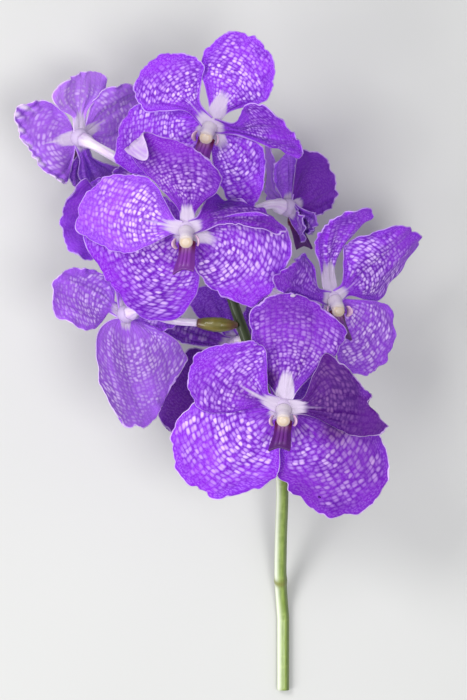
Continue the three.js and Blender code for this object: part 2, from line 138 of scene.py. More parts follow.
def smoothLine(points, steps):  # a centripetal spline through the points, even steps along it
    p = np.array(points, float)
    p = np.concatenate([[2 * p[0] - p[1]], p, [2 * p[-1] - p[-2]]])
    t = np.linspace(0, 1, 60)[:, None]
    runs = []
    for p0, p1, p2, p3 in zip(p, p[1:], p[2:], p[3:]):
        d0, d1, d2 = (math.sqrt(np.linalg.norm(b - a)) for a, b in ((p0, p1), (p1, p2), (p2, p3)))
        m1 = ((p1 - p0) / d0 - (p2 - p0) / (d0 + d1) + (p2 - p1) / d1) * d1
        m2 = ((p2 - p1) / d1 - (p3 - p1) / (d1 + d2) + (p3 - p2) / d2) * d1
        c2, c3 = 3 * (p2 - p1) - 2 * m1 - m2, 2 * (p1 - p2) + m1 + m2
        runs.append(p1 + m1 * t + c2 * t**2 + c3 * t**3)
    return evenly(np.concatenate([runs[0]] + [r[1:] for r in runs[1:]]), steps)


def evenly(line, steps):
    run = np.concatenate([[0], np.cumsum(np.linalg.norm(np.diff(line, axis=0), axis=1))])
    at = np.linspace(0, run[-1], steps)
    return np.stack([np.interp(at, run, line[:, k]) for k in range(3)], -1)


def placed(shell, facing, hub):
    shell["points"] = shell["points"] @ turned(facing).T + np.array(hub)
    return shell


def makePiece(name, node, finish, shells):  # joins shells in one mesh that stands for a CAD node
    starts = np.cumsum([0] + [len(s["points"]) for s in shells])
    points = np.concatenate([s["points"] for s in shells]) - layoutMiddle
    points[:, 2] = np.maximum(points[:, 2], tableGap)
    quads = np.concatenate([s["quads"] + k for s, k in zip(shells, starts)])
    tris = np.concatenate([s.get("tris", np.zeros((0, 3), int)) + k for s, k in zip(shells, starts)])
    mesh = bpy.data.meshes.new(name)
    mesh.vertices.add(len(points))
    mesh.vertices.foreach_set("co", (points * 0.001).astype(np.float32).ravel())
    corners = np.concatenate([quads.ravel(), tris.ravel()]).astype(np.int32)
    sizes = np.concatenate([np.full(len(quads), 4), np.full(len(tris), 3)])
    mesh.loops.add(len(corners))
    mesh.loops.foreach_set("vertex_index", corners)
    mesh.polygons.add(len(sizes))
    mesh.polygons.foreach_set("loop_start", (np.cumsum(sizes) - sizes).astype(np.int32))
    mesh.update(calc_edges=True)
    mesh.polygons.foreach_set("use_smooth", np.ones(len(sizes), bool))
    for mark in ("place", "zone", "tone", "rib"):
        values = [s["marks"].get(mark, np.zeros((len(s["points"]), 3))) for s in shells]
        made = mesh.attributes.new(mark, "FLOAT_VECTOR", "POINT")
        made.data.foreach_set("vector", np.concatenate(values).astype(np.float32).ravel())
    mesh.validate()
    piece = bpy.data.objects.new(name, mesh)
    bpy.context.scene.collection.objects.link(piece)
    mesh.materials.append(finish)
    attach(piece, "root")
    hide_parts(node)


# finishes
def tint(red, green, blue):  # a colour as it is picked on a screen, 0 to 255
    parts = [c / 255 for c in (red, green, blue)]
    return tuple(c / 12.92 if c <= 0.04045 else ((c + 0.055) / 1.055) ** 2.4 for c in parts) + (1.0,)


class Signal:  # a node's output that can stand in a sum
    def __init__(self, paint, socket):
        self.paint, self.socket = paint, socket

    def __add__(self, other):
        return self.paint.sums("ADD", self, other)

    def __sub__(self, other):
        return self.paint.sums("SUBTRACT", self, other)

    def __rsub__(self, other):
        return self.paint.sums("SUBTRACT", other, self)

    def __mul__(self, other):
        return self.paint.sums("MULTIPLY", self, other)

    def __abs__(self):
        return self.paint.sums("ABSOLUTE", self, 0.0)

    __radd__, __rmul__ = __add__, __mul__


class Paint:
    def __init__(self, name):
        self.material = bpy.data.materials.new(name)
        self.material.use_nodes = True
        self.tree = self.material.node_tree
        self.tree.nodes.clear()

    def node(self, kind, settings={}, sockets={}, output=0):
        made = self.tree.nodes.new("ShaderNode" + kind)
        for key, value in settings.items():
            setattr(made, key, value)
        for key, value in sockets.items():
            if isinstance(value, Signal):
                self.tree.links.new(value.socket, made.inputs[key])
            else:
                made.inputs[key].default_value = value
        return Signal(self, made.outputs[output]) if made.outputs else None

    def sums(self, operation, first, second):
        return self.node("Math", {"operation": operation}, {0: first, 1: second})

    def part(self, vector, k):
        return self.node("SeparateXYZ", {}, {0: vector}, k)

    def mark(self, name):  # the three numbers that a piece's points carry
        vector = self.node("Attribute", {"attribute_name": name}, {}, "Vector")
        return [self.part(vector, k) for k in range(3)]

    def smooth(self, value, low, high, start=0.0, end=1.0):
        sockets = {"Value": value, "From Min": low, "From Max": high, "To Min": start, "To Max": end}
        return self.node("MapRange", {"interpolation_type": "SMOOTHSTEP"}, sockets)

    def mix(self, share, first, second, way="MIX"):
        settings = {"data_type": "RGBA", "blend_type": way, "clamp_factor": True}
        return self.node("Mix", settings, {0: share, 6: first, 7: second}, 2)

    def layers(self, colour, shares, look):  # up to three colours over a first one
        for share, key in zip(shares, ("first", "second", "third")):
            if key in look:
                colour = self.mix(share, colour, look[key])
        return colour

    def spot(self, x, y, z=0.0):
        return self.node("CombineXYZ", {}, {0: x, 1: y, 2: z})

    def noise(self, place, scale, detail=1.0, output=0):
        sockets = {"Vector": place, "Scale": scale, "Detail": detail}
        return self.node("TexNoise", {"noise_dimensions": "3D"}, sockets, output)

    def cells(self, place, scale, random, output):
        sockets = {"Vector": place, "Scale": scale, "Randomness": random, "Exponent": 2.6}
        settings = {"voronoi_dimensions": "2D", "feature": "F1", "distance": "MINKOWSKI"}
        return self.node("TexVoronoi", settings, sockets, output)

    def finish(self, sockets, height, bump):
        bumped = self.node("Bump", {}, {"Strength": bump[0], "Distance": bump[1], "Height": height})
        shader = self.node("BsdfPrincipled", {}, {**sockets, "Normal": bumped})
        self.node("OutputMaterial", {}, {"Surface": shader})
        return self.material


petalLook = {
    "violet": tint(138, 34, 216),  # between the windows
    "deep": tint(106, 10, 180),
    "bright": tint(156, 58, 248),  # towards the margin
    "window": tint(196, 136, 252),
    "whitest": tint(230, 198, 255),
    "white": tint(204, 190, 212),  # claws and ribs
    # the pale margin, partly the tissue's own colour and partly a painted highlight along the edge
    "rim": tint(232, 204, 250),
    "dark": tint(148, 122, 144),  # what dark blades are multiplied by: partly their own darker colour, partly painted shade on blades in shadow or turned from the light
    # what pale blades are mixed towards: the paler back faces, and painted light on blades the lamps leave
    # dim
    "pale": tint(206, 146, 255),
    "random": 0.6, "wander": (0.8, 0.6),  # how far the windows leave their rows
    "windowSize": (0.34, 0.54), "windowSoft": 0.25, "veinWide": 0.14,
    "rough": (0.42, 0.56), "gloss": 0.12, "bump": (0.4, 0.0003),
}


def petalFinish(look):  # a net of veins with paler windows between them, white claws, a pale margin that is partly painted highlight
    p = Paint("petal")
    across, along, seed = p.mark("place")
    edge, white, window = p.mark("zone")
    dark, _, pale = p.mark("tone")
    side, rimLight, ribbed = p.mark("rib")
    here = p.spot(across, along, seed * 9)
    drift = p.noise(here, 0.4, 1.0, "Color")
    shift = [(p.part(drift, k) - 0.5) * look["wander"][k] for k in range(2)]
    column = across + shift[0] + seed * 31
    cell = p.spot(column, along + shift[1])
    near = p.cells(cell, 1.0, look["random"], "Distance")
    chance = p.part(p.cells(cell, 1.0, look["random"], "Color"), 0)
    fleck = p.smooth(p.cells(cell, 2.1, 0.8, "Distance"), 0.5, 0.15)
    grain = p.noise(here, 0.13, 3.0)
    fine = p.noise(p.spot(across * 2.0, along * 1.3, seed), 2.0, 2.0)
    streak = p.noise(p.spot(across * 1.7, along * 0.22, seed * 3), 1.0, 1.0)
    vein = p.smooth(p.node("Math", {"operation": "PINGPONG"}, {0: column, 1: 0.5}), look["veinWide"], 0.0)
    size = p.smooth(window, 0.0, 0.8, *look["windowSize"]) + chance * 0.1
    pane = p.smooth(near, size, size * look["windowSoft"]) * (1 - vein * 0.35)
    patch = p.smooth(grain, 0.35, 0.62, 0.45, 1.0)
    shown = pane * p.smooth(window, 0.0, 0.9) * patch * (0.5 + chance * 0.6)
    # the ground between the windows
    ground = p.mix(p.smooth(grain, 0.35, 0.65), look["violet"], look["deep"])
    marginal = p.smooth(window, 0.5, 0.0, 0.0, 0.35) * p.smooth(grain, 0.4, 0.6)
    ground = p.mix(marginal, ground, look["bright"])
    ground = p.mix(p.smooth(along, 10.0, 3.0, 0.0, 0.8) * p.smooth(streak, 0.35, 0.6), ground, look["deep"])
    ground = p.mix(vein * p.smooth(window, 0.1, 0.6) * 0.45, ground, look["deep"])
    ground = p.mix(fleck * (1 - pane) * 0.12 + p.smooth(fine, 0.35, 0.7, 0.0, 0.1), ground, look["window"])
    # windows, freckles at the margin, and how pale or dark the blade is; the darkness is partly painted shade
    # and the paleness partly painted light
    glass = p.mix(chance * p.smooth(window, 0.3, 1.0) + pale * 1.5, look["window"], look["whitest"])
    colour = p.mix(shown, ground, glass)
    freckle = fleck * p.smooth(window, 0.5, 0.1) * p.smooth(window, 0.0, 0.1) * 0.3
    colour = p.mix(freckle, colour, look["window"])
    colour = p.mix(pale * (1 - shown * 0.9), colour, look["pale"])
    colour = p.mix(dark, colour, look["dark"], "MULTIPLY")
    # white claw and rib, and the pale margin, partly its own colour and partly painted highlight
    colour = p.mix(p.smooth(white + (streak - 0.5) * 0.6, 0.2, 0.95, 0.0, 0.95), colour, look["white"])
    thread = p.smooth(abs(side), 0.25 + ribbed * 0.9, 0.05) * p.smooth(ribbed, 0.0, 0.9)
    colour = p.mix(thread * 0.85, colour, look["white"])
    glow = p.smooth(edge, 0.15, 0.55, 1.0, 0.0) * rimLight * p.smooth(grain, 0.3, 0.55, 0.35, 1.0)
    colour = p.mix(glow, colour, look["rim"])
    rough = p.smooth(fine, 0.2, 0.8, *look["rough"])
    sockets = {"Base Color": colour, "Roughness": rough, "Specular IOR Level": look["gloss"]}
    return p.finish(sockets, pane * 0.6 + fine * 0.3 - vein * 0.4, look["bump"])


def waxFinish(name, look):  # column and lip: tone carries how far to each further colour
    p = Paint(name)
    around, run, share = p.mark("place")
    mottle = p.noise(p.spot(around * 6, run, share), 1.4, 3.0)
    colour = p.mix(p.smooth(mottle, 0.35, 0.7, 0.0, 0.5), look["ground"], look["mottle"])
    colour = p.layers(colour, p.mark("tone"), look)
    rough = p.smooth(mottle, 0.2, 0.8, *look["rough"])
    sockets = {"Base Color": colour, "Roughness": rough, "Coat Weight": look["coat"]}
    return p.finish(sockets, mottle, look["bump"])


def stalkFinish(name, look):  # lines along it, and colours where its tone has them
    p = Paint(name)
    around, run, _ = p.mark("place")
    shares = p.mark("tone")
    lines = p.noise(p.spot(around * look["lines"], run * 0.12, 0.0), 1.0, 2.0)
    mottle = p.noise(p.spot(around * 4, run * 0.5, 3.0), 0.8, 4.0)
    colour = p.mix(p.smooth(lines, 0.35, 0.65), look["ground"], look["line"])
    colour = p.mix(p.smooth(mottle, 0.5, 0.75, 0.0, 0.6), colour, look["mottle"])
    shares[0] = shares[0] * p.smooth(mottle, 0.25, 0.55, 0.5, 1.0)
    colour = p.layers(colour, shares, look)
    rough = p.smooth(mottle, 0.3, 0.7, *look["rough"])
    sockets = {"Base Color": colour, "Roughness": rough, "Coat Weight": look["coat"]}
    return p.finish(sockets, lines, look["bump"])


columnLook = {
    "ground": tint(208, 198, 206), "mottle": tint(198, 184, 200),
    "first": tint(206, 188, 166), "second": tint(200, 170, 128),  # cream cap and the ring on it
    "rough": (0.35, 0.5), "coat": 0.1, "bump": (0.2, 0.0003),
}
lipLook = {
    "ground": tint(78, 6, 102), "mottle": tint(58, 2, 80),
    "first": tint(126, 46, 156), "second": tint(216, 176, 204),  # keels, side lobes
    "third": tint(98, 10, 42),  # throat
    "rough": (0.38, 0.55), "coat": 0.08, "bump": (0.2, 0.0003),
}
stalkLook = {
    "ground": tint(250, 244, 250), "line": tint(232, 212, 236), "mottle": tint(240, 226, 242),
    "first": tint(196, 206, 140), "second": tint(186, 130, 210),  # green at the stem, lilac at the bloom
    "lines": 9, "rough": (0.4, 0.55), "coat": 0.05, "bump": (0.25, 0.0003),
}
stemLook = {
    "ground": tint(148, 172, 82), "line": tint(126, 150, 62), "mottle": tint(162, 182, 98),
    "first": tint(126, 92, 52), "second": tint(246, 250, 230),  # brown knuckle, and a painted highlight
    "third": tint(54, 70, 26),  # painted shade
    "lines": 14, "rough": (0.35, 0.5), "coat": 0.15, "bump": (0.25, 0.0003),
}
sheathLook = {
    "ground": tint(122, 112, 40), "line": tint(100, 96, 30), "mottle": tint(138, 128, 52),
    "first": tint(112, 74, 54),  # its two ends
    "lines": 12, "rough": (0.3, 0.45), "coat": 0.2, "bump": (0.25, 0.0003),
}
petalPaint = petalFinish(petalLook)
columnPaint = waxFinish("column", columnLook)
lipPaint = waxFinish("lip", lipLook)
stalkPaint = stalkFinish("stalk", stalkLook)
stemPaint = stalkFinish("stem", stemLook)
sheathPaint = stalkFinish("sheath", sheathLook)
print("finishes made")


# blades: mm and degrees; a phase is what the blade's seed is multiplied by
bladeSizes = {
    "cols": 52, "rows": 64, "sideDense": 0.25, "endDense": 0.08,  # points lie closer near the margin
    "halfThick": 0.34, "edgeThick": 0.3, "seeds": (1.37, 0.71, 0.2),
    "clawHalf": 3.2, "clawInset": 2.0, "ribSteps": 40, "rollShare": 0.35,
    "rise": [0.6, 1.9, 1.9, 0, 0.9],  # how far in front of the hub each blade starts
    "uneven": 0.018, "scallops": [(5, 1.0, 1.7), (9, 0.9, 2.9), (16, 0.6, 4.3)],  # count, height, phase
    "nick": 0.03, "frays": [(29, 0.1, 2.9), (43, 0.1, 4.3)], "tears": [(7, 1.0, 4.3, 14), (12, 0.7, 1.7, 12)],
    "waveHigh": 0.8, "waveCount": 1.7, "ruffle": 0.7, "frills": [(9, 1.0, 2.9), (15, 0.6, 4.3)],
    "pleats": [(1.3, 0.5), (3.7, 0.14)], "ribHigh": 0.25, "ribHalf": 0.8,
    "cellAcross": 2.9, "cellAlong": 1.7, "clawSide": 3.5, "bandWaves": [(2, 0.4, 1.7), (5, 0.25, 2.9)],
    "slowest": 0.35,  # windows are longer near the claw
    "crumples": [(0.9, 1.3, 0), (1.6, -0.8, 1.7)], "crumpleWhite": 0.85,  # across, along, phase
    "curlWhite": 0.62, "curlPanes": 0.9,  # the part that is turned over
}
plain = {
    "skew": 0, "belly": 0.57, "claw": 0.07, "flare": 1.0, "tip": 0.5,  # outline
    "lift": 0, "bow": 0, "sweep": 0, "roll": 0, "twist": 0, "cup": -8, "crease": (0, 0),  # how it bends
    "pulls": [], "folds": [], "foldOver": 2.75, "crumple": 0,  # margin drawn out, turned over or crumpled
    "dark": 0.0, "pale": 0.0, "behind": 0.1, "shade": [], "specks": [],  # darker or paler, in spots too: dark is partly the blade's own colour and partly painted shade, pale partly the paler back and partly painted light, and the spots include painted shadows of folds and of blades in front
    "window": 1.0, "band": 5.5, "net": 1.0, "rimLight": 0.5,  # windows, their distance from a light margin, and how much of that margin shows, partly as painted highlight
    "white": (2, 8), "veer": 0, "rib": 0.0, "ribEnd": 20,  # white claw and rib
}


def blade(swing, long, left, right, **more):
    return {**plain, **more, "swing": swing, "long": long, "left": left, "right": right}


def ribOf(shape, forward):
    n = bladeSizes["ribSteps"]
    share = np.arange(2 * n + 1) / n
    yaw = np.radians(shape["swing"] + shape["sweep"] * share)
    pitch = np.radians(shape["lift"] + shape["bow"] * share)
    turn = np.radians(shape["roll"] * ease(share / bladeSizes["rollShare"]) + shape["twist"] * share)[:, None]
    flat = np.stack([np.cos(yaw), -np.sin(yaw), 0 * yaw], 1)
    ahead = np.stack([np.sin(yaw) * np.cos(pitch), np.cos(yaw) * np.cos(pitch), np.sin(pitch)], 1)
    front = np.stack([-np.sin(yaw) * np.sin(pitch), -np.cos(yaw) * np.sin(pitch), np.cos(pitch)], 1)
    side = flat * np.cos(turn) + front * np.sin(turn)
    normal = front * np.cos(turn) - flat * np.sin(turn)
    swing = math.radians(shape["swing"])
    start = np.array([math.sin(swing), math.cos(swing), 0]) * bladeSizes["clawInset"] + [0, 0, forward]
    place = start + np.concatenate([np.zeros((1, 3)), np.cumsum(ahead[:-1] * shape["long"] / n, 0)])
    return place, side, normal


def waves(phi, seed, parts):
    return sum(high * np.sin(count * phi + phase * seed) for count, high, phase in parts)


def bumpAt(x, y, px, py, size):
    return np.exp(-((x - px) ** 2 + (y - py) ** 2) / size**2)


def bladeOutline(shape, seed):  # the blade laid out flat: x across and y along, in mm
    z = bladeSizes
    u = np.linspace(-1, 1, z["cols"] + 1)[None, :]
    u = u * (1 + z["sideDense"] - z["sideDense"] * u**2)
    v = np.linspace(-1, 1, z["rows"] + 1)[:, None]
    v = v + z["endDense"] * np.sin(math.pi * v)
    across = u * np.sqrt(1 - np.maximum(v, 0) ** 2 / 2)
    end = shape["belly"] + (1 - shape["belly"]) * v * np.sqrt(1 - shape["tip"] * u**2)
    along = np.where(v > 0, end, shape["belly"] * (1 + v) + 0 * u)
    half = np.where(across < 0, shape["left"], shape["right"])
    spread = ease((along - shape["claw"]) / (shape["belly"] - shape["claw"])) ** shape["flare"]
    x = across * (z["clawHalf"] + (half - z["clawHalf"]) * spread)
    y = (along + shape["skew"] * across * ease(along)) * shape["long"]
    middle = shape["belly"] * shape["long"]
    rim = np.maximum(np.abs(u), np.maximum(v, 0))
    phi = np.arctan2(x, y - middle)
    grow = 1 + z["uneven"] * waves(phi, seed, z["scallops"]) * rim**4 * between(v, -0.7, -0.1)
    torn = sum(deep * np.maximum(np.sin(count * phi + phase * seed), 0) ** sharp
               for count, deep, phase, sharp in z["tears"])
    grow = grow + z["nick"] * (waves(phi, seed, z["frays"]) - torn) * rim**14 * between(v, -0.6, 0.0)
    x, y = x * grow, middle + (y - middle) * grow
    for px, py, dx, dy, size in shape["pulls"]:  # a place near the edge drawn by (dx, dy)
        near = bumpAt(x, y, px, py, size)
        x, y = x + dx * near, y + dy * near
    return {"u": u, "v": v, "across": across, "along": along, "half": half, "rim": rim, "phi": phi,
            "x": x, "y": y, "share": np.clip(y / shape["long"], 0, 1.2), "far": np.hypot(x, y),
            "rimBand": between(rim, 0.45, 0.95) * between(v, -0.5, 0.2)}


def bladeRelief(g, shape, seed):  # how far each point stands in front of the flat blade
    z = bladeSizes
    x, y, u, v = g["x"], g["y"], g["u"], g["v"]
    rolling = np.sin(2 * math.pi * z["waveCount"] * g["along"] + 2 * np.sign(u) + shape["swing"])
    height = z["waveHigh"] * g["across"] ** 2 * rolling
    height = height + z["ruffle"] * g["rim"] ** 6 * waves(g["phi"], seed, z["frills"]) * between(v, -0.7, 0.1)
    fan = between(g["far"], 4, 14) * (1 - between(g["share"], 0.7, 1))
    for count, high in z["pleats"]:  # soft folds that fan out from the claw
        height = height + high * np.sin(2 * math.pi * count * u + seed * count) * fan
    height = height + z["ribHigh"] * np.exp(-((x / z["ribHalf"]) ** 2)) * (1 - between(g["share"], 0.5, 0.95))
    crumpled = sum(np.sin(a * x + b * y + phase * seed) for a, b, phase in z["crumples"])
    height = height + shape["crumple"] * g["rimBand"] * crumpled * 0.5
    slope = np.where(x < 0, shape["crease"][0], shape["crease"][1])
    return height - slope * (np.sqrt(x**2 + 1) - 1)


def turnedOver(x, y, height, shape):  # beyond a line through (px, py) the blade curls forward and lies back
    curled = 0 * x
    for px, py, angle, radius in shape["folds"]:
        way = np.array([math.sin(math.radians(angle)), math.cos(math.radians(angle))])
        over = np.maximum((x - px) * way[0] + (y - py) * way[1], 0)
        bend = np.minimum(over / radius, shape["foldOver"])
        rest = over - bend * radius
        curled = curled + between(over, 1.0, 3)  # what is turned over has its own colours
        cut = radius * np.sin(bend) + rest * np.cos(bend) - over
        x, y = x + cut * way[0], y + cut * way[1]
        height = height * np.cos(bend) + radius * (1 - np.cos(bend)) + rest * np.sin(bend)
    return x, y, height, curled


def edgeDistance(g):
    x, y = g["x"], g["y"]
    sides = ((x[:, 0], y[:, 0]), (x[:, -1], y[:, -1]), (x[-1], y[-1]))
    ring = np.concatenate([np.stack(pair, 1) for pair in sides])
    edge = np.sqrt(((x[..., None] - ring[:, 0]) ** 2 + (y[..., None] - ring[:, 1]) ** 2).min(-1))
    return np.where(g["rim"] > 0.9999, 0, edge)


def bladeMarks(g, shape, seed, curled):  # what the petal's finish reads from each point
    z = bladeSizes
    x, y, share, far = g["x"], g["y"], g["share"], g["far"]
    steps = np.linspace(0, 1.6, 200)
    slow = z["slowest"] + (1 - z["slowest"]) * between(steps, 0.1, 0.4)
    run = np.concatenate([[0], np.cumsum((slow[1:] + slow[:-1]) / 2 * (steps[1] - steps[0]))]) * shape["long"]
    cellAlong = np.interp(far / shape["long"], steps, run) / (z["cellAlong"] * shape["net"])
    cellAcross = g["across"] * g["half"] / (z["cellAcross"] * shape["net"])
    place = np.stack([cellAcross, cellAlong, 0 * x + seed % 1], -1)
    aside = np.maximum(np.abs(x - shape["veer"] * y) - 2, 0)
    claw = 1 - between(far + z["clawSide"] * aside, *shape["white"])
    frost = np.minimum(shape["crumple"], 1) * g["rimBand"] * (0.6 + 0.4 * np.sin(1.1 * x + 0.7 * y))
    claw = np.maximum(np.maximum(claw, z["curlWhite"] * curled), z["crumpleWhite"] * frost)
    edge = edgeDistance(g)
    band = shape["band"] * (0.75 + waves(g["phi"], seed, z["bandWaves"]))
    panes = between(edge, 0.1, band) * between(far, 3, 12) * (1 - 0.5 * between(share, 0.55, 1.0))
    panes = np.maximum(panes * shape["window"], z["curlPanes"] * curled)
    # shade spots: some are the blade's own darker or paler places, others are painted shadows of folds and of
    # blades lying over it
    shades = sum(amount * bumpAt(x, y, px, py, size) for px, py, size, amount in shape["shade"])
    dark = 0 * x + shape["dark"] + shades
    # pale: partly the back face's own paler colour, partly painted light on blades in shade
    pale = np.clip(shape["pale"] - np.minimum(dark, 0), 0, 0.9)
    ribbed = shape["rib"] * (1 - between(y, 0.3 * shape["ribEnd"], shape["ribEnd"]))
    return {"place": place, "zone": np.stack([edge, claw, panes], -1),
            "tone": np.stack([np.clip(dark, 0, 1.3), 0 * x, pale], -1),
            "rib": np.stack([x, 0 * x + shape["rimLight"], ribbed], -1)}


def bladeShells(shape, forward, seed):
    z = bladeSizes
    g = bladeOutline(shape, seed)
    x, y, height, curled = turnedOver(g["x"], g["y"], bladeRelief(g, shape, seed), shape)
    rib, side, normal = ribOf(shape, forward)
    at = np.clip(y / shape["long"] * z["ribSteps"], 0, 2 * z["ribSteps"] - 0.001)
    k = np.floor(at).astype(int)
    part = (at - k)[..., None]
    place = rib[k] * (1 - part) + rib[k + 1] * part
    side = unit(side[k] * (1 - part) + side[k + 1] * part)
    normal = unit(normal[k] * (1 - part) + normal[k + 1] * part)
    bend = 2 * math.radians(shape["cup"]) / (shape["left"] + shape["right"])
    lift = (1 - np.cos(x * bend)) / bend + height
    points = place + side * (np.sin(x * bend) / bend)[..., None] + normal * lift[..., None]
    thinning = np.sqrt(np.clip(1 - g["rim"] ** 8, 0, 1))
    thick = z["halfThick"] * (z["edgeThick"] + (1 - z["edgeThick"]) * thinning)
    shells = [sheetShell(points, thick, bladeMarks(g, shape, seed, curled), shape["behind"])]
    for px, py, size, whiteness in shape["specks"]:  # a small brown scar or white fold
        i, j = np.unravel_index(np.argmin((g["x"] - px) ** 2 + (g["y"] - py) ** 2), x.shape)
        marks = {"zone": (9.0, whiteness, 0.0), "tone": (3.0 - 3.0 * whiteness, 0.0, 0.0)}
        speck = points[i, j] + normal[i, j] * 0.3
        shells.append(eggShell(np.array([size, size * 0.6, 0.3]), speck, marks, 8, 12))
    return shells


# column and lip, in the bloom's own place with its face towards +Z and its lip towards -Y
columnSizes = {
    "foot": 3.1, "tilt": 24, "bow": (0.7, 0.6), "long": 5.4, "sides": 28, "steps": 30,
    "cap": (2.9, 2.8, 1.6), "capShift": (0, -0.3, 0.1), "capRing": (0.62, 0.12),
    "profile": [[0, 3.3], [0.2, 3.1], [0.45, 2.8], [0.7, 2.9], [0.9, 2.8], [1.0, 1.8]],
}
lipSizes = {
    "root": (5, 5.2), "long": 14, "wide": 8.8, "waist": 0.75, "notch": 1.2, "halfThick": 0.5, "tilt": 35,
    "ridge": 0.7, "ridgeHalf": (0.12, 0.14), "ridgeAside": 0.45, "arch": 1.1,
    "throat": (3.6, 1.3, 1.4), "throatPlace": (0, -5.4, 6.4),
    "keelLight": 0.5, "edgeLight": 0.25, "red": 0.85,  # how far to its other colours
}
lobeSizes = {
    "span": 1.3, "tall": 3.4, "aside": 3.8, "belly": 1.1, "lean": 0.9, "place": (-4.9, 6.2), "reach": 2.2,
    "halfThick": 0.3,
}


def capTone(q):  # cream, with a warmer ring round its middle
    out = np.hypot(q[:, 0], q[:, 1])
    middle, half = columnSizes["capRing"]
    ring = np.exp(-(((out - middle) / half) ** 2)) * (q[:, 2] > 0)
    return np.stack([0.9 - 0.3 * between(out, 0.7, 1.0), 0.5 * ring, 0 * out], -1)


def columnShells():
    z = columnSizes
    s = np.linspace(0, 1, z["steps"])
    bow = math.radians(z["tilt"]) * (z["bow"][0] + z["bow"][1] * s)
    reach = z["foot"] + s * z["long"]
    line = np.stack([0 * s, -np.sin(bow) * reach, np.cos(bow) * reach], -1)
    knots = np.array(z["profile"])
    radii = np.interp(s, knots[:, 0], knots[:, 1])
    tone = np.stack([between(s, 0.75, 1.0) * 0.5, 0 * s, 0 * s], -1)
    post = tubeShell(line, radii, z["sides"], np.array([0, 1.0, 0]), {"tone": tone})
    cap = eggShell(np.array(z["cap"]), line[-1] + z["capShift"], {"tone": capTone})
    return [post, cap]


def bothFaces(points, half, place, tone):  # a sheet with the same colours on both faces
    sheet = sheetShell(points, half, {"place": place})
    sheet["marks"]["tone"] = np.concatenate([tone.reshape(-1, 3)] * 2)
    return sheet


def lobeShell(way):  # a side lobe, a thin shell curved round the column
    z = lobeSizes
    t = np.linspace(-z["span"], z["span"], 24)[None, :]
    h = np.linspace(0, 1, 10)[:, None]
    tall = z["tall"] * np.cos(t * 0.95)
    x = way * (z["aside"] + z["belly"] * np.cos(t)) + way * z["lean"] * h**2
    y = z["place"][0] + z["reach"] * np.sin(t) + 0 * h
    w = z["place"][1] + h * tall
    points = np.stack([x + 0 * h, y, w], -1)[:, ::way]
    light = 0.55 + 0.45 * between(h, 0.3, 0.8) + 0 * t
    red = 0.5 * (1 - between(h, 0.0, 0.35)) + 0 * t
    tone = np.stack([0 * w, light, red], -1)
    return bothFaces(points, 0 * w + z["halfThick"], points * 0.3, tone)


def lipShells(lean, blush):
    z = lipSizes
    u = np.linspace(-1, 1, 33)[None, :]
    s = np.linspace(0, 1, 40)[:, None]
    half = z["wide"] / 2 * (z["waist"] + (1 - z["waist"]) * ease((s - 0.3) / 0.7))
    fall = z["long"] * s - z["notch"] * (1 - np.abs(u)) * ease((s - 0.6) / 0.4)
    tilt = math.radians(z["tilt"])
    sideKeels = np.exp(-(((np.abs(u) - z["ridgeAside"]) / z["ridgeHalf"][1]) ** 2))
    keels = np.exp(-((u / z["ridgeHalf"][0]) ** 2)) + 0.8 * sideKeels
    ridges = z["ridge"] * keels * (1 - between(s, 0.7, 0.95))
    high = ridges - z["arch"] * np.abs(u) ** 2.5
    x = u * half + lean * s**1.5
    y = -z["root"][0] - fall * math.cos(tilt) + high * math.sin(tilt)
    w = z["root"][1] + fall * math.sin(tilt) + high * math.cos(tilt)
    place = np.stack([u * 0.5 + 0 * s, s * 8 + 0 * u, 0 * s + 0 * u], -1)
    keel = np.clip(ridges / z["ridge"], 0, 1)
    root = 1 - between(s, 0.0, 0.5)
    light = keel * z["keelLight"] + z["edgeLight"] * between(np.abs(u), 0.8, 1.0)
    light = light + blush * between(s, 0.1, 0.5)
    tone = np.stack([light, 0.55 * root * keel, z["red"] * root * (1 - 0.6 * keel) + 0 * fall], -1)
    tongue = bothFaces(np.stack([x, y, w], -1), 0 * fall + z["halfThick"], place, tone)
    throat = eggShell(np.array(z["throat"]), z["throatPlace"], {"tone": (0.0, 0.0, 0.9)})
    return [tongue, throat, lobeShell(-1), lobeShell(1)]


# stem and stalks
stemSizes = {
    "end": (22.4, -153.5, 2.7), "radius": 2.7, "tip": 1.7, "sides": 32, "steps": 240, "ribs": (6, 0.015, 0),
    "line": [(22.4, -121, 2.7), (21.7, -112, 4.6), (21.1, -101, 11), (21.1, -84, 22), (21.3, -57, 38),
             (18.6, -39, 46), (12.4, -15, 49), (5.5, 5, 50), (-0.2, 21, 50), (-8, 48, 50), (-12.4, 74, 50),
             (-13.5, 84, 51)],
    "knuckle": (-103.5, 1.6, 0.1, 0.45),  # place, length, height and brown of the ring where a scale grew
    "gleam": (0.4, 0.085),  # place and width of the painted highlight line, in turns from the right side
    "shade": (-60, -30), "sideShade": 0.6,  # painted shade among the blooms and down its right side, away from the lamps
}
stalkSizes = {
    "radius": 1.75, "swell": 0.15, "flare": 0.75, "uneven": 0.06,  # it widens towards the bloom
    "straight": 13, "out": 7, "lean": 1.5, "start": 0.55, "hub": 4.9,  # where its line runs
    "green": 0.7, "lilac": 0.15,
    "sides": 24, "steps": 60, "ribs": (6, 0.06, 0.35),
}
sheathSizes = {
    "line": [(1.4, 10.9, 52.6), (-1.6, 10.9, 54), (-8, 11.1, 54), (-15.6, 11.8, 53.4)],
    "radii": [1.3, 2.5, 3.2, 3.2, 2.8, 1.9], "sides": 32, "steps": 60, "ribs": (5, 0.02, 0.1),
    "brown": [(0.1, 0.35), (0.82, 1.0)],  # its ends
    "gap": 0.3, "run": 10,  # to the left bloom's stalk, and how far that runs straight on
}
hubSizes = {"half": (4.1, 4.1, 3.8), "white": 0.85, "pale": 0.5}  # the knob where the blades meet

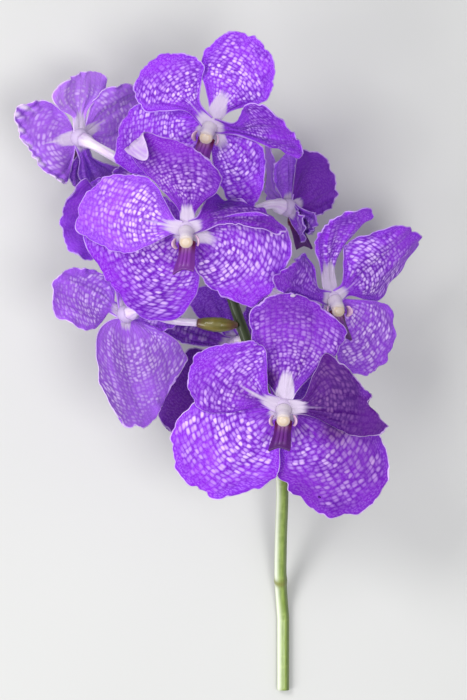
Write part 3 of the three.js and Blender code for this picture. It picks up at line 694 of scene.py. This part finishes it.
share = np.linspace(0, 1, 40)[:-1, None]
cutEnd = share * (np.array(stemSizes["line"][0]) - stemSizes["end"]) + stemSizes["end"]
stemLine = evenly(np.concatenate([cutEnd, smoothLine(stemSizes["line"], 400)]), stemSizes["steps"])
stemShare = np.linspace(0, 1, stemSizes["steps"])
stemRadii = stemSizes["radius"] + (stemSizes["tip"] - stemSizes["radius"]) * ease((stemShare - 0.5) / 0.5)
knuckleAt, knuckleLong, knuckleHigh, knuckleBrown = stemSizes["knuckle"]
knuckle = np.exp(-(((stemLine[:, 1] - knuckleAt) / knuckleLong) ** 2))[:, None]
stemAngle = np.linspace(0, 1, stemSizes["sides"], endpoint=False)[None, :]
# a painted highlight down the stem's left side
gleam = np.exp(-(((stemAngle - stemSizes["gleam"][0]) / stemSizes["gleam"][1]) ** 2)) + 0 * knuckle
# painted shade down the right side and where the stem runs in among the blooms
rightSide = stemSizes["sideShade"] * between(np.cos(2 * math.pi * stemAngle), 0.2, 0.8)
shaded = np.maximum(between(stemLine[:, 1], *stemSizes["shade"])[:, None], rightSide)
shine = gleam * (1 - knuckle) * (1 - shaded)
stemTone = np.stack([knuckle * knuckleBrown + 0 * gleam, shine, shaded + 0 * gleam], -1)
knuckleRadii = stemRadii * (1 + knuckleHigh * knuckle[:, 0])
stemShell = tubeShell(stemLine, knuckleRadii, stemSizes["sides"], np.array([0, 0, 1.0]), {"tone": stemTone},
                      stemSizes["ribs"])
makePiece("flower_stem", "stem", stemPaint, [stemShell])

upTheSpray = np.array([0, 1.0, 0])
sheathLine = smoothLine(sheathSizes["line"], sheathSizes["steps"])
sheathShare = np.linspace(0, 1, sheathSizes["steps"])
sheathKnots = np.linspace(0, 1, len(sheathSizes["radii"]))
sheathRadii = np.interp(sheathShare, sheathKnots, sheathSizes["radii"])
near, beyond = (between(sheathShare, *part) for part in sheathSizes["brown"])
sheathEnds = np.maximum(1 - near, beyond)
sheathTone = np.stack([sheathEnds, 0 * sheathShare, 0 * sheathShare], -1)
sheathShell = tubeShell(sheathLine, sheathRadii, sheathSizes["sides"], upTheSpray, {"tone": sheathTone},
                        sheathSizes["ribs"])
makePiece("left_sheath_skin", "left_sheath", sheathPaint, [sheathShell])
print("stem made")


def stalkLine(bloom):
    z = stalkSizes
    face = turned(bloom["facing"])[:, 2]
    hub = np.array(bloom["hub"], float)
    before = hub - face * z["straight"]
    end = hub - face * z["hub"]
    if "root" in bloom:
        k = min(np.searchsorted(stemLine[:, 1], bloom["root"]), len(stemLine) - 2)
        ahead = unit(stemLine[k + 1] - stemLine[k - 1])
        outward = before - stemLine[k]
        outward = unit(outward - ahead * (outward @ ahead))
        start = stemLine[k] + outward * (stemRadii[k] + z["start"])
        first = [start, start + outward * z["out"] + ahead * z["lean"]]
    else:  # out of the sheath
        way = unit(sheathLine[-1] - sheathLine[-2])
        gap = sheathSizes["gap"]
        first = [sheathLine[-1] + way * gap, sheathLine[-1] + way * (gap + sheathSizes["run"])]
    return smoothLine([*first, before, end], z["steps"])


def makeStalk(bloom):
    z = stalkSizes
    share = np.linspace(0, 1, z["steps"])
    swollen = 1 + z["swell"] * ease(share) + z["flare"] * between(share, 0.8, 1.0)
    radii = z["radius"] * swollen * (1 + z["uneven"] * np.sin(9 * share + bloom["hub"][0]))
    green = 1 - between(share, 0.0, 0.25) if "root" in bloom else 0 * share
    tone = np.stack([green * z["green"], between(share, 0.5, 1.0) * z["lilac"], 0 * share], -1)
    shell = tubeShell(stalkLine(bloom), radii, z["sides"], upTheSpray, {"tone": tone}, z["ribs"])
    makePiece(bloom["name"] + "_stalk_skin", bloom["name"] + "_stalk", stalkPaint, [shell])


def makeBloom(bloom, number):
    shells = []
    seeds = bladeSizes["seeds"]
    for k, shape in enumerate(bloom["blades"]):
        seed = number * seeds[0] + k * seeds[1] + seeds[2]
        shells += bladeShells(shape, bladeSizes["rise"][k], seed)
    hubMarks = {"zone": (9.0, hubSizes["white"], 0.0), "tone": (0.0, 0.0, hubSizes["pale"])}
    hub = eggShell(np.array(hubSizes["half"]), (0, 0, 0), hubMarks)
    for name, parts, paint in (
        ("petals", [*shells, hub], petalPaint),
        ("column", columnShells(), columnPaint),
        ("lip", lipShells(bloom["lean"], bloom.get("blush", 0)), lipPaint),
    ):
        node = bloom["name"] + "_" + name
        turnedParts = [placed(s, bloom["facing"], bloom["hub"]) for s in parts]
        makePiece(node + "_skin", node, paint, turnedParts)
    makeStalk(bloom)
    print(bloom["name"], "bloom made")


# blooms: upper sepal, two petals, two lower sepals. A blade's swing is its clock angle round the face, then
# come its length and its half widths; a pull or shade is (x, y, ...) on the blade laid out flat.
# a blade's dark and shade are partly its own colour and partly painted shade, and its pale is partly painted
# light
low = {
    "name": "low", "hub": (21.3, -24.1, 92), "root": -8, "facing": (-3, 6, 0), "lean": -1.6,
    "blades": [
        # upper sepal: the dark spot on its left flank is a painted shadow in the slit beside the petal
        blade(6, 46.5, 17.5, 24, skew=-0.07, belly=0.68, claw=-0.03, bow=1, sweep=-5, roll=-3, cup=-11,
              flare=1.05, tip=0.7, dark=0.4, window=0.8, net=0.85, white=(9, 17),
              pulls=[(-7.5, 9, -4, 0, 4.5)], shade=[(0, 42, 12, 0.15), (-8, 9, 4, 1.2)],
              specks=[(1, 45.5, 1.2, 0.7)]),
        # left petal: the spots along the lower side of its rib are a painted shadow under the fold
        blade(-66, 41, 18.5, 19.5, skew=-0.07, claw=0.17, lift=15, bow=-15, sweep=24, flare=0.6, tip=0.65,
              dark=0.12, window=0.8, net=0.85, rib=1.0, ribEnd=26, crease=(0.16, 0), white=(4, 12),
              shade=[(-8, 22, 12, 0.15), (-2.4, 8, 3, 0.35), (-2.2, 13, 3, 0.3), (-2, 18, 3, 0.2)]),
        # right petal: its darkness is painted shade as well as its own colour, as it turns from the light
        blade(87, 38, 23, 11, skew=0.33, belly=0.6, claw=0.14, lift=14, bow=-10, sweep=10, roll=6,
              dark=1.2, window=0.65, net=0.9, band=4, rib=0.35, ribEnd=22, white=(4, 12),
              shade=[(-8, 33, 4, -0.45)],
              pulls=[(-8, 35, -1, 2, 3), (-3.5, 37.5, 0, -4, 2.2), (4.5, 42, 0.5, 2.5, 1.3)]),
        blade(-125, 51.5, 23.5, 25, skew=0.02, belly=0.43, claw=-0.05, lift=-4, bow=5, sweep=-4, roll=6,
              cup=-9, rimLight=0.9, band=8, shade=[(0, 8, 8, 0.2)],
              pulls=[(-5.5, 50.5, 0, -2, 1.4), (-10, 48.5, 0, -1.4, 1.2)]),
        # lower right sepal: its darkness is partly painted shade, and the dark spot near the claw is a
        # painted shadow of the right petal
        blade(140, 54.5, 27, 22.5, belly=0.45, claw=0.04, flare=0.65, lift=-8, bow=6, sweep=11, roll=-12,
              cup=-9, dark=0.5, rimLight=0.9, band=12,
              shade=[(-11, 18, 6, 0.6), (-14, 34, 9, 0.15), (8, 18, 9, -0.5)],
              pulls=[(22, 27, -1.8, 0, 1.6), (14, 47.5, -1, -1.8, 1.6)], specks=[(11.2, 39.4, 0.9, 0)]),
    ],
}
mid = {
    "name": "mid", "hub": (-19.6, 51, 96), "root": 44, "facing": (-8, 8, 8), "lean": -2.4, "blush": 0.5,
    "blades": [
        blade(13, 37.5, 22, 15.5, skew=-0.26, belly=0.72, claw=0.1, flare=0.9, lift=16, bow=-5, sweep=-18,
              roll=5, cup=-17, dark=0.42, window=0.8, net=0.85, white=(5, 13), behind=0.8,
              pulls=[(-17, 38, -7, 13, 7)], folds=[(-18.5, 39, -30, 1.7)]),
        blade(-69, 44.5, 16.5, 18, skew=-0.08, belly=0.52, flare=0.6, tip=0.4, lift=4, bow=-6, sweep=4,
              pale=0.1, net=0.85, rib=0.6, ribEnd=24, white=(2, 13)),
        blade(77, 38, 27, 7.5, skew=0.44, belly=0.53, flare=1.2, tip=0.7, lift=2, bow=-9, sweep=39,
              roll=73, twist=-7, dark=0.45, window=0.7, net=0.85),
        blade(-127, 42.5, 31, 31, skew=0.03, belly=0.79, flare=0.3, tip=0.2, lift=-14, bow=1, sweep=22,
              roll=27, cup=-6, dark=0.08, crease=(0, 0.14), shade=[(0, 8, 9, 0.3)]),
        blade(140, 41.5, 30, 11.5, skew=-0.04, belly=0.52, claw=0.05, flare=0.35, tip=0.6, lift=-5,
              sweep=14, roll=-5, dark=0.2, net=0.9, white=(5, 17), veer=-0.45),
    ],
}
top = {
    "name": "top", "hub": (-9.6, 96.1, 78), "root": 78, "facing": (-10, 10, -12), "lean": -1.0, "blush": 0.4,
    "blades": [
        blade(14, 41, 17.5, 17, belly=0.54, claw=0.02, flare=1.2, lift=7, bow=-6, sweep=13, roll=7,
              window=0.95, net=0.8, white=(9, 18), pulls=[(-5.2, 41, 0, -1.8, 1.3), (-3, 41, 0, 1.2, 1)]),
        blade(-52, 35.5, 18, 15.5, skew=-0.06, belly=0.62, claw=0.17, flare=1.2, tip=0.55, lift=7, bow=-10,
              dark=0.08, window=0.85, net=0.8, rib=0.4),
        blade(84, 40.5, 22.5, 17, skew=0.05, belly=0.77, claw=0.22, lift=23, sweep=-3, roll=-55, twist=5,
              cup=-2, dark=0.1, window=0.7, net=0.85, pulls=[(-16.5, 42, -1, 3, 3)]),
        blade(-128, 44, 12.5, 20.5, belly=0.53, claw=-0.19, flare=0.85, lift=-7, sweep=18, window=0.9,
              net=0.8),
        blade(136, 35, 13.5, 13.5, skew=0.23, belly=0.64, flare=0.6, tip=0.4, lift=1, bow=-3, sweep=-4,
              roll=-7, twist=-3, net=0.85, white=(4, 14)),
    ],
}
farLeft = {
    "name": "far_left", "hub": (-67.4, 93.1, 42.85), "root": 68, "facing": (-152, -16, 0), "lean": 0.5,
    "blades": [
        blade(3, 27, 15, 18, skew=-0.29, belly=0.66, claw=0.27, lift=8, bow=14, sweep=-14, roll=-12,
              twist=-6, pale=0.65, window=0.7, rib=0.7, white=(4, 14), rimLight=0.9),
        blade(-61, 36.5, 18, 13, skew=0.11, belly=0.42, flare=0.55, tip=0.6, lift=11, sweep=-2, twist=-8,
              pale=0.45, window=0.75, rib=0.8, white=(4, 14), rimLight=0.8),
        blade(103, 22.5, 19.5, 19, skew=-0.35, belly=0.55, claw=0, flare=0.3, tip=0.3, bow=5, roll=-13,
              cup=-9, pale=0.35, window=0.75, crumple=1.4, rib=0.8, white=(4, 13), rimLight=1.0, dark=0.2,
              shade=[(4, 22, 7, -0.4)]),
        blade(-153, 42.5, 6, 15, skew=0.34, belly=0.69, claw=0.23, flare=0.6, lift=19, bow=10, sweep=27,
              roll=5, pale=0.2, window=0.4),
        blade(-145, 42.5, 9, 6, skew=0.26, belly=0.61, claw=0.2, lift=31, bow=16, sweep=-11, dark=0.2,
              window=0.4),
    ],
}
farRight = {
    "name": "far_right", "hub": (23.9, 62.2, 47.47), "root": 52, "facing": (140, 4, 0), "lean": 0,
    "blades": [
        blade(13, 24.5, 6, 8.5, lift=12, sweep=2, pale=0.2, window=0.4),
        # this petal's darkness is partly painted shade, as it turns from the light
        blade(-67, 25, 9.5, 20, skew=0.05, claw=0, flare=0.55, tip=0.45, sweep=-2, roll=-6, dark=0.7,
              window=0.05),
        blade(67, 48.5, 19.5, 7, belly=0.63, claw=0.3, flare=1.2, lift=22, bow=27, sweep=-6, roll=15,
              twist=8, cup=-4, pale=0.5, window=0.4),
        blade(-128, 23, 6, 6.5, lift=-14, bow=-22, roll=-22, twist=-12, dark=0.3),
        blade(-112, 31, 6, 6, skew=0.23, belly=0.8, claw=0.3, tip=0.6, lift=-15, bow=-29, roll=-10,
              dark=0.2),
    ],
}
right = {
    "name": "right", "hub": (42.4, 22, 69), "root": 20, "facing": (20, 4, 0), "lean": 0,
    "blades": [
        blade(-21, 42.5, 7.5, 19, skew=0.15, belly=0.79, claw=0.21, lift=18, bow=30, sweep=21, roll=-6,
              twist=-4, cup=-6, window=0.8, net=0.85, white=(12, 21)),
        blade(-81, 39.5, 6, 17, skew=-0.29, belly=0.7, claw=0.19, tip=0.7, lift=32, sweep=23, roll=-9,
              cup=-17, dark=0.1, window=0.6),
        blade(52, 44, 18, 22.5, skew=0.09, belly=0.38, tip=0.15, lift=5, bow=4, sweep=-5, roll=-18,
              twist=-27, cup=-23, window=0.9, net=0.85, rib=0.4, pulls=[(-6, 45, 0, 2, 2)]),
        blade(-162, 46, 13, 9, lift=-7, pale=0.15, window=0.5),
        blade(139, 38.5, 20, 14.5, belly=0.6, claw=0, flare=0.6, tip=0.6, lift=-8, bow=-6, twist=8, cup=-7,
              pale=0.14, window=1.3, net=0.9, rimLight=0.2),
    ],
}
left = {
    "name": "left", "hub": (-46.7, 15.6, 56), "facing": (-150, 8, 0), "lean": 0,
    "blades": [
        # these blades face away from the lamps, and their pale is partly painted light
        blade(4, 31.5, 12, 9, claw=0.16, lift=-6, sweep=-4, pale=0.3),
        blade(60, 36, 12, 19, skew=0.19, belly=0.47, claw=0.15, flare=0.3, tip=0.3, lift=-6, sweep=19,
              roll=-11, cup=-12, pale=0.28, window=1.2, net=0.85, rimLight=0.9),
        blade(-86, 25, 9, 10, lift=-9),
        blade(-165, 30, 9, 9, lift=32),
        blade(176, 48, 25, 31, skew=-0.26, belly=0.51, claw=0, flare=0.3, tip=0.75, lift=-5, bow=-11,
              sweep=19, roll=17, cup=-19, pale=0.4, window=1.2, net=0.9, rimLight=0.9),
    ],
}
back = {
    "name": "back", "hub": (-52.3, 59.5, 46), "root": 36, "facing": (-172, 0, 0), "lean": 0,
    "blades": [
        blade(102, 24, 17.5, 18, skew=0.21, belly=0.38, claw=-0.03, flare=0.8, tip=0.6, lift=-14, bow=-7,
              sweep=8, cup=-9, dark=0.05, window=0.0),
        blade(20, 24, 7, 7, lift=50),
        blade(-33, 28, 9, 10, lift=28, bow=11, dark=0.2),
        blade(-95, 30, 11, 10, lift=10, bow=4, dark=0.2),
        blade(-160, 30, 11, 10, lift=4, dark=0.2),
    ],
}
under = {
    "name": "under", "hub": (1.1, 2.2, 27), "root": 3, "facing": (-176, 4, 0), "lean": 0,
    "blades": [
        # these blades lie under the others, and their darkness is partly painted shade
        blade(125, 41, 11, 16.5, skew=0.36, belly=0.67, tip=0.7, lift=4, sweep=4, dark=0.8, window=0.3),
        blade(76, 35, 6, 6, skew=0.18, belly=0.54, lift=-4, sweep=-10, dark=0.4),
        blade(25, 28, 6, 10.5, skew=0.11, belly=0.65, claw=0.15, sweep=4, window=0.3),
        blade(-45, 26, 9, 9, lift=11, bow=4, dark=0.2),
        blade(-140, 36, 12, 12, lift=6, dark=0.5, window=0.4),
    ],
}
for number, bloom in enumerate((low, mid, top, farLeft, farRight, right, left, back, under)):
    makeBloom(bloom, number)


# floor, lights and camera
studio = {
    "floor": tint(204, 204, 201), "mottle": tint(209, 209, 206), "floorHalf": 2,
    "sky": (0.92, 0.94, 1.0, 1.0), "skyPower": 0.42, "aim": (0, 0, 0.05),
    "lamps": [  # place, size, watts
        ((-0.6, 0.45, 1.2), 0.45, 7.9),
        ((0.3, -0.2, 1.45), 0.5, 8.9),
        ((-0.8, -0.35, 0.9), 0.5, 5.2),
    ],
    "eye": (0.00695, 0.00938, 1.4), "focus": 3095.24, "tall": 700,  # m, then picture points
    "sensor": 36,  # mm
}
floorMesh = bpy.data.meshes.new("floor")
far = studio["floorHalf"]
floorMesh.from_pydata([(-far, -far, 0), (far, -far, 0), (far, far, 0), (-far, far, 0)], [], [(0, 1, 2, 3)])
floor = bpy.data.objects.new("floor", floorMesh)
bpy.context.scene.collection.objects.link(floor)
floorPaint = Paint("floor")
floorGrain = floorPaint.noise(floorPaint.node("NewGeometry", {}, {}, "Position"), 3.0, 2.0)
floorColour = floorPaint.mix(floorPaint.smooth(floorGrain, 0.3, 0.7), studio["floor"], studio["mottle"])
floorSockets = {"Base Color": floorColour, "Roughness": 0.8}
floorMesh.materials.append(floorPaint.finish(floorSockets, floorGrain, (0.1, 0.0005)))

for number, (place, size, watts) in enumerate(studio["lamps"]):
    lamp = bpy.data.lights.new("lamp_%d" % number, "AREA")
    lamp.size, lamp.energy = size, watts
    holder = bpy.data.objects.new(lamp.name, lamp)
    holder.location = place
    way = np.array(studio["aim"]) - np.array(place)
    down = math.acos(-way[2] / np.linalg.norm(way))
    holder.rotation_euler = (down, 0, math.atan2(way[1], way[0]) - math.pi / 2)
    bpy.context.scene.collection.objects.link(holder)

world = bpy.data.worlds.new("studio")
world.use_nodes = True
world.node_tree.nodes["Background"].inputs["Color"].default_value = studio["sky"]
world.node_tree.nodes["Background"].inputs["Strength"].default_value = studio["skyPower"]
bpy.context.scene.world = world
bpy.context.scene.view_settings.view_transform = "Standard"

lens = bpy.data.cameras.new("camera")
lens.sensor_width = studio["sensor"]
lens.lens = studio["focus"] * studio["sensor"] / studio["tall"]
lens.clip_end = 20
camera = bpy.data.objects.new("camera", lens)
camera.location = studio["eye"]
bpy.context.scene.collection.objects.link(camera)
bpy.context.scene.camera = camera
print("studio made")
